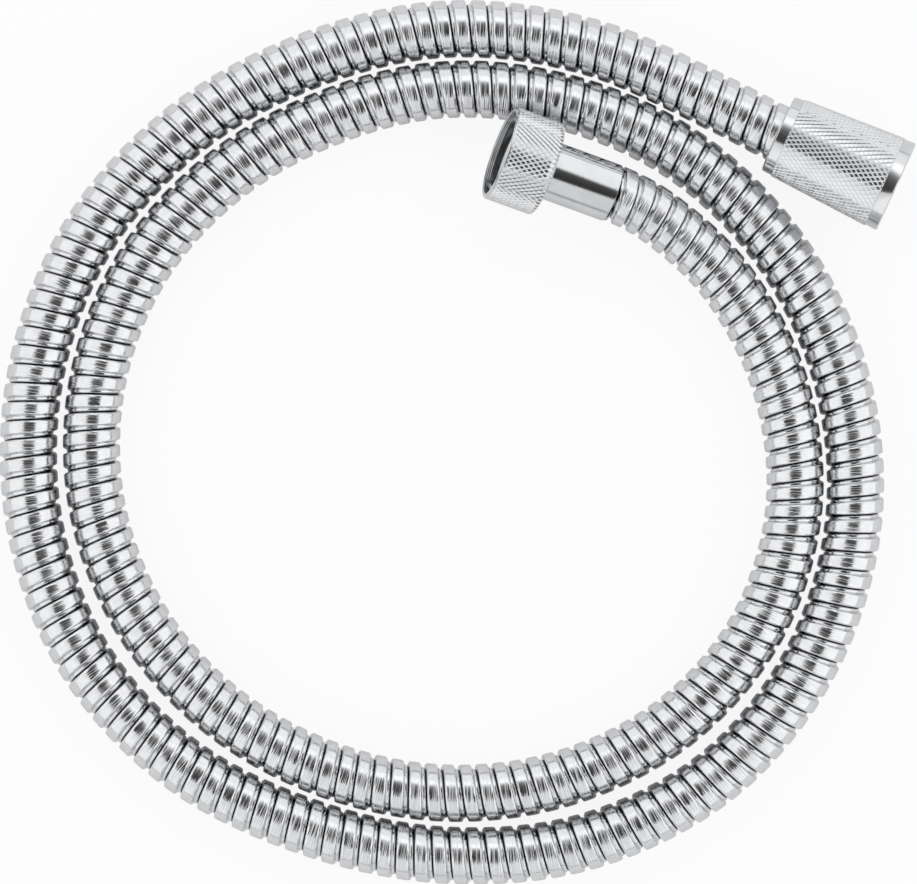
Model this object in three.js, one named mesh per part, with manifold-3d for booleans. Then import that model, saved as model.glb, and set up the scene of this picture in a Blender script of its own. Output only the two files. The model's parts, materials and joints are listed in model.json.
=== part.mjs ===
// A chrome shower hose, lying in two loose turns as it is put down on a shelf.
//
// Millimetres, +Z up. The origin is on the surface that the hose lies on, at the middle of its
// footprint. Travel along the hose runs from the handset end to the wall end. Each end fitting is a
// set of turned pieces on one axis, and the heights in their profiles are distances behind the
// fitting's mouth.

import * as THREE from "three";
import { mergeVertices } from "three/addons/utils/BufferGeometryUtils.js";
import Module from "manifold-3d";

const wasm = await Module();
wasm.setup();

// Hose: a rubber tube that carries the water, in a strip-wound metal armour
const TUBE_BORE = 8.2;
const TUBE_WALL = 0.9;
const TUBE_SIDES = 8;
const TUBE_STEPS = 80;
const ARMOUR_HEIGHT = 1.7; // from the armour's bore to its crowns
const ARMOUR_SIDES = 12;
const ARMOUR_STEPS = 78;
const TAIL_WALL = 0.8; // the armour's ends are swaged down to go into the end sleeves
const TAIL_LENGTH = 6.0;
const TAIL_ROOT = 1.0; // how far a tail runs into the full-size armour

// Half inch pipe thread of both nuts, with the bore left at the thread's minor diameter
const THREAD_MINOR = 18.6;
const MOUTH_OD = 21.3;
const MOUTH_CHAMFER = 1.2;

// Washer, nipple and sleeve, alike at both ends
const WASHER_BORE = 11.0;
const WASHER_THICKNESS = 2.0;
const WASHER_EDGE = 0.2;
const FLANGE_THICKNESS = 1.6;
const NIPPLE_BORE = 5.2;
const NIPPLE_FLARE = 1.0;
const SPIGOT_LENGTH = 13.0;
const BARB_COUNT = 4;
const BARB_HEIGHT = 0.3;
const SLEEVE_WALL = 0.75;
const SLEEVE_LIP = 1.0;
const WALL_SLEEVE_LENGTH = 19.4;
const HANDSET_SLEEVE_LENGTH = 13.5;

// Gap between pieces that turn in, lie in or pass through each other
const GAP = 0.3;

// Diameters over the layers of the hose, and of what the nuts hold
const TUBE_OD = TUBE_BORE + 2 * TUBE_WALL;
const ARMOUR_BORE = TUBE_OD + 2 * GAP;
const ARMOUR_OD = ARMOUR_BORE + 2 * ARMOUR_HEIGHT;
const TAIL_OD = ARMOUR_BORE + 2 * TAIL_WALL;
const SLEEVE_BORE = TAIL_OD + 2 * GAP;
const SLEEVE_OD = SLEEVE_BORE + 2 * SLEEVE_WALL;
const NUT_EXIT = Math.max(SLEEVE_OD, ARMOUR_OD) + 2 * GAP;
const SEAL_OD = THREAD_MINOR - 2 * GAP;

// Wall nut: a short knurled nut with a rear wall, which the nipple's flange pulls against
const WALL_NUT_OD = 23.5;
const WALL_NUT_LENGTH = 12.5;
const WALL_NUT_REAR_WALL = 2.4;
const WALL_NUT_REAR_CHAMFER = 1.5;

// Handset nut: a long knurled cone with a plain band at each end
const CONE_MOUTH_OD = 23.6;
const CONE_REAR_OD = 20.0;
const CONE_LENGTH = 31.5;
const CONE_MOUTH_BAND = 3.1;
const CONE_REAR_BAND = 2.7;
const CONE_SHOULDER = 12.1; // depth of the inner shoulder, which the flange pulls against
const BAND_STEP = 0.25;

const TURNED_EDGE = 0.4;
const NUT_SEGMENTS = 48;
const SLEEVE_SEGMENTS = 32;

// How the hose lies. A place is given by its bearing about the coil's centre, in degrees from +X, how
// far it is outside the coil's radius, and its lift above the height at which the hose lies.
const COIL_CENTRE = { x: -3.3, y: 0.0 };
const COIL_RADIUS = 94.0; // midway between the outer and the inner turn
const ROUTE = [
  [50, 12.5, 2.2], [70, 8.6, 0.8], [90, 6.7, 0.15], [110, 4.8, 0.05], [130, 5.2, 0], [150, 6.5, 0],
  [170, 7.2, 0], [190, 8.1, 0], [210, 8.7, 0], [230, 7.6, 0], [250, 5.7, 0], [270, 6.8, 0],
  [290, 9.5, 0], [310, 11.1, 0], [330, 10.0, 0], [350, 7.4, 0], [370, 3.8, 0], [390, 0.2, 0],
  [410, -2.9, 0], [430, -6.0, 0], [450, -8.0, 0], [470, -9.9, 0], [490, -9.7, 0], [510, -8.6, 0],
  [530, -7.9, 0], [550, -7.6, 0], [570, -8.0, 0], [590, -8.7, 0], [610, -9.1, 0], [630, -8.3, 0],
  [650, -6.9, 0], [670, -5.5, 0], [690, -5.4, 0], [710, -7.4, 0.05], [730, -11.1, 0.25],
  [750, -15.0, 1.3], [766, -18.5, 3.6],
];

// The two mouths, with the bearing that each faces. The handset nut rests on its cone, and the wall
// nut leans on the turn of hose beside it with its mouth tipped up.
const HANDSET_MOUTH = { place: [29.46, 31.98], faces: -24.7 };
const WALL_MOUTH = { place: [79.34, -22.67, 10.9], faces: 160.6, rise: 10.0 };
const HOSE_LEAD = 2.5; // the hose leaves each fitting straight for this far

const radians = THREE.MathUtils.degToRad;

// Stations behind a mouth, for the pieces that stack up on a nut's inner shoulder
function stations(shoulder, nutLength, sleeveLength) {
  const flangeBack = shoulder - GAP;
  const flangeFront = flangeBack - FLANGE_THICKNESS;
  const washerBack = flangeFront - GAP;
  const sleeveEnd = shoulder + sleeveLength;
  const armourStart = sleeveEnd + GAP;
  return {
    shoulder, flangeBack, flangeFront, washerBack, sleeveEnd, armourStart,
    washerFront: washerBack - WASHER_THICKNESS,
    lipBack: shoulder + SLEEVE_LIP,
    tubeStart: shoulder + SLEEVE_LIP + GAP,
    straightEnd: Math.max(armourStart, nutLength) + HOSE_LEAD,
  };
}
const wallEnd = stations(
  WALL_NUT_LENGTH - WALL_NUT_REAR_WALL, WALL_NUT_LENGTH, WALL_SLEEVE_LENGTH,
);
const handsetEnd = stations(CONE_SHOULDER, CONE_LENGTH, HANDSET_SLEEVE_LENGTH);

// A place on the route. The lift is from the middle of a hose that lies flat.
function routePoint([bearing, outside, lift = 0]) {
  const distance = COIL_RADIUS + outside;
  return new THREE.Vector3(
    COIL_CENTRE.x + distance * Math.cos(radians(bearing)),
    COIL_CENTRE.y + distance * Math.sin(radians(bearing)),
    ARMOUR_OD / 2 + lift,
  );
}

// The axis of a fitting: the middle of its mouth, and the direction from there into the hose
function fittingAxis(mouth, faces, rise) {
  const level = Math.cos(radians(rise));
  const inward = new THREE.Vector3(
    -Math.cos(radians(faces)) * level, -Math.sin(radians(faces)) * level, -Math.sin(radians(rise)),
  );
  return { mouth, inward };
}
function along(axis, distance) {
  return axis.mouth.clone().addScaledVector(axis.inward, distance);
}
const coneAngle = Math.atan((CONE_MOUTH_OD - CONE_REAR_OD) / 2 / CONE_LENGTH);
const handsetAxis = fittingAxis(
  routePoint(HANDSET_MOUTH.place).setZ(CONE_MOUTH_OD / 2 * Math.cos(coneAngle)),
  HANDSET_MOUTH.faces, THREE.MathUtils.radToDeg(coneAngle),
);
const wallAxis = fittingAxis(routePoint(WALL_MOUTH.place), WALL_MOUTH.faces, WALL_MOUTH.rise);

// The hose's centreline, from the end of its tube in the handset fitting to that in the wall fitting
function straight(axis, end) {
  const middle = (end.tubeStart + end.straightEnd) / 2;
  return [end.tubeStart, middle, end.straightEnd].map((distance) => along(axis, distance));
}
const centreline = new THREE.CatmullRomCurve3([
  ...straight(handsetAxis, handsetEnd),
  ...ROUTE.map(routePoint),
  ...straight(wallAxis, wallEnd).reverse(),
]);
centreline.arcLengthDivisions = 4000;
const centrelineLength = centreline.getLength();

// A stretch of the centreline, between two distances from its start
class Stretch extends THREE.Curve {
  constructor(from, to) {
    super();
    this.from = from / centrelineLength;
    this.to = to / centrelineLength;
  }
  getPoint(t, target = new THREE.Vector3()) {
    const place = THREE.MathUtils.lerp(this.from, this.to, t);
    return centreline.getPointAt(THREE.MathUtils.clamp(place, 0, 1), target);
  }
}

// A section of the hose: a regular polygon with its corners on the circle
function ring(diameter, sides) {
  const section = new THREE.Shape();
  for (let i = 0; i < sides; i += 1) {
    const angle = 2 * Math.PI * i / sides;
    const x = diameter / 2 * Math.cos(angle);
    const y = diameter / 2 * Math.sin(angle);
    if (i === 0) section.moveTo(x, y);
    else section.lineTo(x, y);
  }
  section.closePath();
  return section;
}
function rod(from, to, diameter, sides, steps) {
  return new THREE.ExtrudeGeometry(ring(diameter, sides), {
    steps, bevelEnabled: false, extrudePath: new Stretch(from, to),
  });
}

function asSolid(geometry) {
  const bare = geometry.clone();
  bare.deleteAttribute("normal");
  bare.deleteAttribute("uv");
  const merged = mergeVertices(bare, 1e-4);
  return new wasm.Manifold(new wasm.Mesh({
    numProp: 3,
    vertProperties: merged.attributes.position.array,
    triVerts: new Uint32Array(merged.index.array),
  }));
}
function asGeometry(solid) {
  const mesh = solid.getMesh();
  const geometry = new THREE.BufferGeometry();
  geometry.setAttribute("position", new THREE.BufferAttribute(mesh.vertProperties, 3));
  geometry.setIndex(new THREE.BufferAttribute(mesh.triVerts, 1));
  return geometry;
}

// The rubber tube is open at both ends, where it is pushed over the nipples
function tubeGeometry() {
  const section = ring(TUBE_OD, TUBE_SIDES);
  section.holes.push(ring(TUBE_BORE, TUBE_SIDES));
  return new THREE.ExtrudeGeometry(section, {
    steps: TUBE_STEPS, bevelEnabled: false, extrudePath: new Stretch(0, centrelineLength),
  });
}

// The armour is full size between the two sleeves, with a swaged tail inside each of them
function armourGeometry() {
  const start = handsetEnd.armourStart - handsetEnd.tubeStart;
  const finish = centrelineLength - (wallEnd.armourStart - wallEnd.tubeStart);
  const boreCorners = ARMOUR_BORE / Math.cos(Math.PI / ARMOUR_SIDES);
  const tailSteps = 2;
  const past = TAIL_LENGTH + TAIL_ROOT;
  const body = asSolid(rod(start, finish, ARMOUR_OD, ARMOUR_SIDES, ARMOUR_STEPS));
  const tails = [
    rod(start - TAIL_LENGTH, start + TAIL_ROOT, TAIL_OD, ARMOUR_SIDES, tailSteps),
    rod(finish - TAIL_ROOT, finish + TAIL_LENGTH, TAIL_OD, ARMOUR_SIDES, tailSteps),
  ].map(asSolid);
  const hollow = asSolid(rod(start - past, finish + past, boreCorners, ARMOUR_SIDES, ARMOUR_STEPS));
  return asGeometry(body.add(tails[0]).add(tails[1]).subtract(hollow));
}

// A turned piece: its outline runs up the outside and back down the bore
function turned(outline, segments) {
  const points = outline.map(([radius, height]) => new THREE.Vector2(radius, height));
  return new THREE.LatheGeometry([...points, points[0].clone()], segments);
}

// The thread's bore from a nut's shoulder down to its chamfered mouth
function mouthOutline(shoulder) {
  return [
    [NUT_EXIT / 2, shoulder], [THREAD_MINOR / 2, shoulder], [THREAD_MINOR / 2, MOUTH_CHAMFER],
    [MOUTH_OD / 2, 0],
  ];
}

function wallNutGeometry() {
  const outer = WALL_NUT_OD / 2;
  return turned([
    [outer - TURNED_EDGE, 0],
    [outer, TURNED_EDGE],
    [outer, WALL_NUT_LENGTH - WALL_NUT_REAR_CHAMFER],
    [outer - WALL_NUT_REAR_CHAMFER, WALL_NUT_LENGTH],
    [NUT_EXIT / 2 + TURNED_EDGE, WALL_NUT_LENGTH],
    [NUT_EXIT / 2, WALL_NUT_LENGTH - TURNED_EDGE],
    ...mouthOutline(wallEnd.shoulder),
  ], NUT_SEGMENTS);
}

function handsetNutGeometry() {
  const crest = (height) => THREE.MathUtils.lerp(CONE_MOUTH_OD, CONE_REAR_OD, height / CONE_LENGTH) / 2;
  const rearBand = CONE_LENGTH - CONE_REAR_BAND;
  const knurlStart = CONE_MOUTH_BAND + BAND_STEP;
  const knurlEnd = rearBand - BAND_STEP;
  return turned([
    [crest(0) - BAND_STEP - TURNED_EDGE, 0],
    [crest(0) - BAND_STEP, TURNED_EDGE],
    [crest(CONE_MOUTH_BAND) - BAND_STEP, CONE_MOUTH_BAND],
    [crest(knurlStart), knurlStart],
    [crest(knurlEnd), knurlEnd],
    [crest(rearBand) - BAND_STEP, rearBand],
    [crest(CONE_LENGTH) - BAND_STEP, CONE_LENGTH - TURNED_EDGE],
    [crest(CONE_LENGTH) - BAND_STEP - TURNED_EDGE, CONE_LENGTH],
    [NUT_EXIT / 2 + TURNED_EDGE, CONE_LENGTH],
    [NUT_EXIT / 2, CONE_LENGTH - TURNED_EDGE],
    ...mouthOutline(handsetEnd.shoulder),
  ], NUT_SEGMENTS);
}

function washerGeometry(end) {
  const outer = SEAL_OD / 2;
  const inner = WASHER_BORE / 2;
  return turned([
    [outer - WASHER_EDGE, end.washerFront],
    [outer, end.washerFront + WASHER_EDGE],
    [outer, end.washerBack - WASHER_EDGE],
    [outer - WASHER_EDGE, end.washerBack],
    [inner, end.washerBack],
    [inner, end.washerFront],
  ], SLEEVE_SEGMENTS);
}

// The nipple: a flange that seals on the washer, a neck through the sleeve's lip, and a barbed spigot
// inside the tube. Each barb rises towards the flange, so that the tube goes on but not off.
function nippleGeometry(end) {
  const flange = SEAL_OD / 2;
  const neck = TUBE_OD / 2;
  const crest = TUBE_BORE / 2 * Math.cos(Math.PI / TUBE_SIDES) - GAP;
  const valley = crest - BARB_HEIGHT;
  const bore = NIPPLE_BORE / 2;
  const spigotEnd = end.lipBack + SPIGOT_LENGTH;
  const pitch = SPIGOT_LENGTH / (BARB_COUNT + 1);
  const outline = [
    [flange, end.flangeFront], [flange, end.flangeBack], [neck, end.flangeBack],
    [neck, end.lipBack], [valley, end.lipBack],
  ];
  for (let i = 1; i <= BARB_COUNT; i += 1) {
    const root = end.lipBack + i * pitch;
    outline.push([valley, root], [crest, root], [valley, root + 0.8 * pitch]);
  }
  outline.push([valley, spigotEnd], [bore, spigotEnd]);
  outline.push([bore, end.flangeFront + NIPPLE_FLARE], [bore + NIPPLE_FLARE, end.flangeFront]);
  return turned(outline, SLEEVE_SEGMENTS);
}

// The sleeve is pressed over the end of the hose, and its lip holds it behind the nipple's flange
function sleeveGeometry(end) {
  const outer = SLEEVE_OD / 2;
  const inner = SLEEVE_BORE / 2;
  const lip = TUBE_OD / 2 + GAP;
  const edge = TURNED_EDGE / 2;
  return turned([
    [lip, end.shoulder],
    [outer - edge, end.shoulder],
    [outer, end.shoulder + edge],
    [outer, end.sleeveEnd - edge],
    [outer - edge, end.sleeveEnd],
    [inner, end.sleeveEnd],
    [inner, end.lipBack],
    [lip, end.lipBack],
  ], SLEEVE_SEGMENTS);
}

const chrome = () => new THREE.MeshStandardMaterial({ color: 0xd9dbdd, roughness: 0.1, metalness: 1 });
const steel = () => new THREE.MeshStandardMaterial({ color: 0xcfd1d3, roughness: 0.16, metalness: 1 });
const brass = () => new THREE.MeshStandardMaterial({ color: 0xc9a45a, roughness: 0.35, metalness: 1 });
const rubber = () => new THREE.MeshStandardMaterial({ color: 0x2a2b2c, roughness: 0.75 });
const whiteTube = () => new THREE.MeshStandardMaterial({ color: 0xd8dad8, roughness: 0.5 });

function piece(name, geometry, material) {
  const mesh = new THREE.Mesh(geometry, material);
  mesh.name = name;
  return mesh;
}

// One end of the hose, with its pieces on the fitting's axis
function fitting(name, axis, end, nutGeometry) {
  const group = new THREE.Group();
  group.position.copy(axis.mouth);
  group.quaternion.setFromUnitVectors(new THREE.Vector3(0, 1, 0), axis.inward);
  group.add(
    piece(`${name}_nut`, nutGeometry, chrome()),
    piece(`${name}_washer`, washerGeometry(end), rubber()),
    piece(`${name}_nipple`, nippleGeometry(end), brass()),
    piece(`${name}_sleeve`, sleeveGeometry(end), chrome()),
  );
  return group;
}

const hose = new THREE.Group();
hose.add(
  piece("armour", armourGeometry(), steel()),
  piece("inner_hose", tubeGeometry(), whiteTube()),
  fitting("wall", wallAxis, wallEnd, wallNutGeometry()),
  fitting("handset", handsetAxis, handsetEnd, handsetNutGeometry()),
);

export default hose;
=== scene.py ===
"""Looks of a chrome shower hose: its wound armour, both end fittings, their finishes and the studio."""

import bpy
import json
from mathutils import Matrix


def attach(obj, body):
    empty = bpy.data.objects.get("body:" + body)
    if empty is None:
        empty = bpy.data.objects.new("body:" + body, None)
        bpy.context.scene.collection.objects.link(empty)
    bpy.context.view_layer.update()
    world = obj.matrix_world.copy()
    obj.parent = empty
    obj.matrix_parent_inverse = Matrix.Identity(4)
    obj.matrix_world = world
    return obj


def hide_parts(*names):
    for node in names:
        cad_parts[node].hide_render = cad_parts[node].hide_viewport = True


bl_info = {
    "name": "Chrome shower hose",
    "version": (1, 0, 0),
    "blender": (4, 5, 0),
    "location": "View3D > Sidebar > Shower hose",
    "description": "Dresses the packed model of a chrome shower hose and sets up its studio",
    "category": "Object",
}

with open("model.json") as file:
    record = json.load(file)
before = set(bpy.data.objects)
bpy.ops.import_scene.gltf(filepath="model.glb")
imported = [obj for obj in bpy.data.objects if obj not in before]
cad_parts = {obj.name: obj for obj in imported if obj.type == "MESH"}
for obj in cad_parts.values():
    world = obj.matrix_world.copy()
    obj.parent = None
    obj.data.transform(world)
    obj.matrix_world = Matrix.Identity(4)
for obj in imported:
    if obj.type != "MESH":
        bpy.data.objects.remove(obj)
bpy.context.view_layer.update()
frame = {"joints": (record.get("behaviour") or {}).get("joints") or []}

import json
import math

import bpy
from bpy.props import FloatProperty, FloatVectorProperty, IntProperty, PointerProperty
from mathutils import Matrix, Vector

# The photograph's width in pixels, the size of one pixel where the hose lies, and the camera's sensor
# in millimetres
PHOTO_WIDTH = 917
PIXEL_SIZE = 0.000244
SENSOR_WIDTH = 36.0

# The fittings are made standing on their mouth: height is distance behind the mouth
WALL_SHOULDER = 0.0101
WALL_NUT_LENGTH = 0.0125
WALL_ARMOUR_START = 0.0298
WALL_SLEEVE_END = 0.0295
CONE_SHOULDER = 0.0121
CONE_LENGTH = 0.0315
CONE_ARMOUR_START = 0.0259
CONE_SLEEVE_END = 0.0256
SEAL_RADIUS = 0.009
GAP = 0.0003
TURNING_STEPS = 64

# Nuts: where the knurl starts and ends, the edges beside it, and how far the rim of a turned body stays
# clear of it before the two are joined
NUT_EXIT_RADIUS = 0.00745
NUT_CHAMFER = 0.0003
NUT_ROUGHNESS = 0.13
KNURL_CLEARANCE = 0.0001
WALL_KNURL_START = 0.0006
WALL_MOUTH_CHAMFER = 0.0006
WALL_REAR_EDGE = 0.0005
REAR_ROUNDING = 0.0009
CONE_KNURL_START = 0.0031
CONE_REAR_BAND = 0.0027
CONE_BAND_INSET = 0.00025
CONE_BAND_EDGE = 0.0005
KNURL_SLOPE = 0.17  # share of a diamond's side that each of its slopes takes
KNURL_STRETCH = math.sqrt(3)  # length of a diamond along the nut against its width
CONE_KNURL_TWIST = 0.09  # how far the cone's knurl turns aside for each unit of height
SPARE_DIAMONDS = 4  # past the band's ends, to be cut off

# The thread inside a nut, and the turned rings inside its mouth
THREAD_MAJOR_RADIUS = 0.01048
THREAD_ROOT_RADIUS = 0.0107
THREAD_CREST_RADIUS = 0.0093
THREAD_PITCH = 0.001814
THREAD_START = 0.0016
THREAD_STEPS = 48
MOUTH_RINGS = 3
MOUTH_RING_STEP = 0.00023
MOUTH_RING_DEPTH = 0.0003

# Sleeves
SLEEVE_WALL = 0.00075
SLEEVE_ROUNDING = 0.0004
SLEEVE_CHAMFER = 0.0002
SLEEVE_ROUGHNESS = 0.07
LIP_THICKNESS = 0.001

# Washers and nipples
WASHER_THICKNESS = 0.002
WASHER_BORE_RADIUS = 0.0055
WASHER_EDGE = 0.0003
WASHER_BEVEL = 0.0001
FLANGE_THICKNESS = 0.0016
FLANGE_CHAMFER = 0.0002
NIPPLE_BORE_RADIUS = 0.0026
NIPPLE_FLARE = 0.001
SPIGOT_LENGTH = 0.013
BARB_COUNT = 4
BARB_HEIGHT = 0.0003
BARB_RADIUS = 0.003488
BARB_SLOPE = 0.8  # share of a barb's pitch that its slope takes

# The tube and the armour
TUBE_RADIUS = 0.005
TUBE_WALL = 0.0009
TUBE_POINT_STEP = 4
TUBE_BEVEL_STEPS = 4
WINDINGS_PER_BORE_RING = 3
SWAGE_LENGTH = 0.0003  # over which the armour rises from a swaged tail to its full size
SWAGE_END = 0.00039  # how far past the tail that rise ends

# Modelling
OUTLINE_SEED_SIZE = 0.001
MERGE_DISTANCE = 1e-6
KNURL_MERGE_DISTANCE = 2e-6
CUT_THRESHOLD = 1e-7
NEAR_RIM = 0.00015
HOSE_SMOOTH_ANGLE = math.radians(38)
FITTING_SMOOTH_ANGLE = math.radians(25)

# The meshes' own data: where a vertex was on the piece as made, and its depth between the windings, which
# also sets where the painted shade in the slits falls
MADE_PLACE = "made_place"
GROOVE_DEPTH = "groove_depth"

# The rings of a turned surface: how fine they are along the axis, and how much slower they change around
STREAK_SCALE = 3200
STREAK_STRETCH = (0.004, 0.003)

# How the hose lies: bearing about the coil's centre in degrees, how far outside the coil's radius, and
# lift above the height at which the hose lies
COIL_CENTRE = Vector((-0.0033, 0.0, 0.0))
COIL_RADIUS = 0.094
ROUTE = [
    (50, 0.0125, 0.0022), (70, 0.0086, 0.0008), (90, 0.0067, 0.00015), (110, 0.0048, 0.00005),
    (130, 0.0052, 0), (150, 0.0065, 0), (170, 0.0072, 0), (190, 0.0081, 0), (210, 0.0087, 0),
    (230, 0.0076, 0), (250, 0.0057, 0), (270, 0.0068, 0), (290, 0.0095, 0), (310, 0.0111, 0),
    (330, 0.0100, 0), (350, 0.0074, 0), (370, 0.0038, 0), (390, 0.0002, 0), (410, -0.0029, 0),
    (430, -0.0060, 0), (450, -0.0080, 0), (470, -0.0099, 0), (490, -0.0097, 0), (510, -0.0086, 0),
    (530, -0.0079, 0), (550, -0.0076, 0), (570, -0.0080, 0), (590, -0.0087, 0), (610, -0.0091, 0),
    (630, -0.0083, 0), (650, -0.0069, 0), (670, -0.0055, 0), (690, -0.0054, 0),
    (710, -0.0074, 0.00005), (730, -0.0111, 0.00025), (750, -0.0150, 0.0013), (766, -0.0185, 0.0036),
]
HOSE_LEAD = 0.0025  # the hose leaves each fitting straight for this far
POINTS_PER_SPAN = 16

# The light tent: its brightness, what its walls add at three sides, the share that the side walls lose
# towards the far one, and the share of the brightness that is left at the horizon
TENT_LEVEL = 0.86
LEFT_WALL = 0.32
RIGHT_WALL = 0.4
FAR_WALL = 0.2
FAR_SHADE = 0.7
HORIZON_LEVEL = 0.4

# How far the floor shines white by itself, to the camera and in reflections
FLOOR_WHITENESS = 0.9
FLOOR_MIRRORED_WHITENESS = 0.1

# The card that hangs over the camera, the dark field on it, and the field's brightness from its near
# edge in -Y to the card's far one
CARD_HEIGHT = 1.25
CARD_SIZE = 3.4
FIELD_MIDDLE = 0.03
FIELD_HALF_WIDTH = 0.55
FIELD_REACH = 0.87
FIELD_CORNER_POWER = 1.5
FIELD_LEVELS = [
    (-FIELD_REACH, 0.03), (-0.4, 0.04), (0.0, 0.07), (0.35, 0.15), (0.5, 0.28), (0.64, 0.5),
    (0.76, 1.0), (0.95, 1.5), (1.3, 1.45), (1.65, 1.3),
]
FIELD_BRIGHTEST = 1.5


class ShowerHoseArmour(bpy.types.PropertyGroup):
    diameter: FloatProperty(
        name="Diameter", description="Size over the crowns of the winding",
        default=0.014, min=0.008, max=0.03, unit="LENGTH", precision=5,
    )
    bore: FloatProperty(
        name="Bore", description="Clear size inside the winding",
        default=0.0106, min=0.005, max=0.025, unit="LENGTH", precision=5,
    )
    tail_diameter: FloatProperty(
        name="Tail diameter", description="Size of the ends that go into the sleeves",
        default=0.0122, min=0.006, max=0.03, unit="LENGTH", precision=5,
    )
    tail_windings: IntProperty(
        name="Tail windings", description="Windings at each end that go into the sleeve",
        default=2, min=1, max=4,
    )
    handset_pitch: FloatProperty(
        name="Pitch at the handset end", description="Length of one winding beside the cone nut",
        default=0.00453, min=0.002, max=0.01, unit="LENGTH", precision=5,
    )
    wall_pitch: FloatProperty(
        name="Pitch at the wall end", description="Length of one winding beside the short nut",
        default=0.0044, min=0.002, max=0.01, unit="LENGTH", precision=5,
    )
    steps: IntProperty(
        name="Steps", description="Faces around one winding", default=23, min=8, max=48,
    )


class ShowerHoseNuts(bpy.types.PropertyGroup):
    wall_nut_diameter: FloatProperty(
        name="Wall nut diameter", description="Size over the knurl of the short nut",
        default=0.0235, min=0.02, max=0.03, unit="LENGTH", precision=5,
    )
    cone_mouth_diameter: FloatProperty(
        name="Cone mouth diameter", description="Size of the cone nut at its mouth",
        default=0.0236, min=0.02, max=0.03, unit="LENGTH", precision=5,
    )
    cone_rear_diameter: FloatProperty(
        name="Cone rear diameter", description="Size of the cone nut where the hose comes out",
        default=0.02, min=0.017, max=0.03, unit="LENGTH", precision=5,
    )
    knurl_pitch: FloatProperty(
        name="Knurl pitch", description="Distance between neighbouring diamonds around a nut",
        default=0.00115, min=0.0005, max=0.003, unit="LENGTH", precision=5,
    )
    knurl_depth: FloatProperty(
        name="Knurl depth", description="Depth of the grooves between the diamonds",
        default=0.00012, min=0.0, max=0.001, unit="LENGTH", precision=5,
    )
    sleeve_diameter: FloatProperty(
        name="Sleeve diameter", description="Size over the sleeves at the ends of the hose",
        default=0.0143, min=0.012, max=0.02, unit="LENGTH", precision=5,
    )


class ShowerHoseFinish(bpy.types.PropertyGroup):
    chrome: FloatVectorProperty(
        name="Chrome", description="Colour of the plated nuts and sleeves",
        default=(0.7, 0.71, 0.725), min=0, max=1, size=3, subtype="COLOR",
    )
    armour: FloatVectorProperty(
        name="Armour", description="Colour of the wound strip",
        default=(0.74, 0.747, 0.76), min=0, max=1, size=3, subtype="COLOR",
    )
    # Painted shade: this near-black colour is laid in the slits between the windings, where shade falls
    groove: FloatVectorProperty(
        name="Groove", description="Colour deep between the windings",
        default=(0.012, 0.012, 0.013), min=0, max=1, size=3, subtype="COLOR",
    )
    brass: FloatVectorProperty(
        name="Brass", description="Colour of the nipples",
        default=(0.62, 0.44, 0.18), min=0, max=1, size=3, subtype="COLOR",
    )
    washer: FloatVectorProperty(
        name="Washer", description="Colour of the sealing washers",
        default=(0.03, 0.03, 0.033), min=0, max=1, size=3, subtype="COLOR",
    )
    tube: FloatVectorProperty(
        name="Tube", description="Colour of the tube inside the armour",
        default=(0.7, 0.71, 0.7), min=0, max=1, size=3, subtype="COLOR",
    )


class ShowerHoseStudio(bpy.types.PropertyGroup):
    camera_height: FloatProperty(
        name="Camera height", description="Height of the camera above the floor",
        default=1.2, min=0.3, max=5, unit="LENGTH",
    )
    floor: FloatVectorProperty(
        name="Floor", description="Colour of the floor",
        default=(0.93, 0.93, 0.93), min=0, max=1, size=3, subtype="COLOR",
    )
    floor_size: FloatProperty(
        name="Floor size", description="Length of the floor's sides",
        default=6, min=1, max=20, unit="LENGTH",
    )


class Socket:
    """An output of a node tree, on which arithmetic adds the tree's Math nodes."""

    def __init__(self, nodes, output):
        self.nodes = nodes
        self.output = output

    def __add__(self, other):
        return self.nodes.maths("ADD", self, other)

    def __radd__(self, other):
        return self.nodes.maths("ADD", other, self)

    def __sub__(self, other):
        return self.nodes.maths("SUBTRACT", self, other)

    def __rsub__(self, other):
        return self.nodes.maths("SUBTRACT", other, self)

    def __mul__(self, other):
        return self.nodes.maths("MULTIPLY", self, other)

    def __rmul__(self, other):
        return self.nodes.maths("MULTIPLY", other, self)

    def between(self, low, high):
        """0 below low, 1 above high, and a smooth rise from one to the other."""
        return self.nodes.add(
            "ShaderNodeMapRange", {"interpolation_type": "SMOOTHSTEP"},
            {"Value": self, "From Min": low, "From Max": high},
        )

    def parts(self):
        """The three numbers of a vector."""
        split = self.nodes.add("ShaderNodeSeparateXYZ", {}, {0: self})
        return [Socket(self.nodes, output) for output in split.output.node.outputs]


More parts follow.
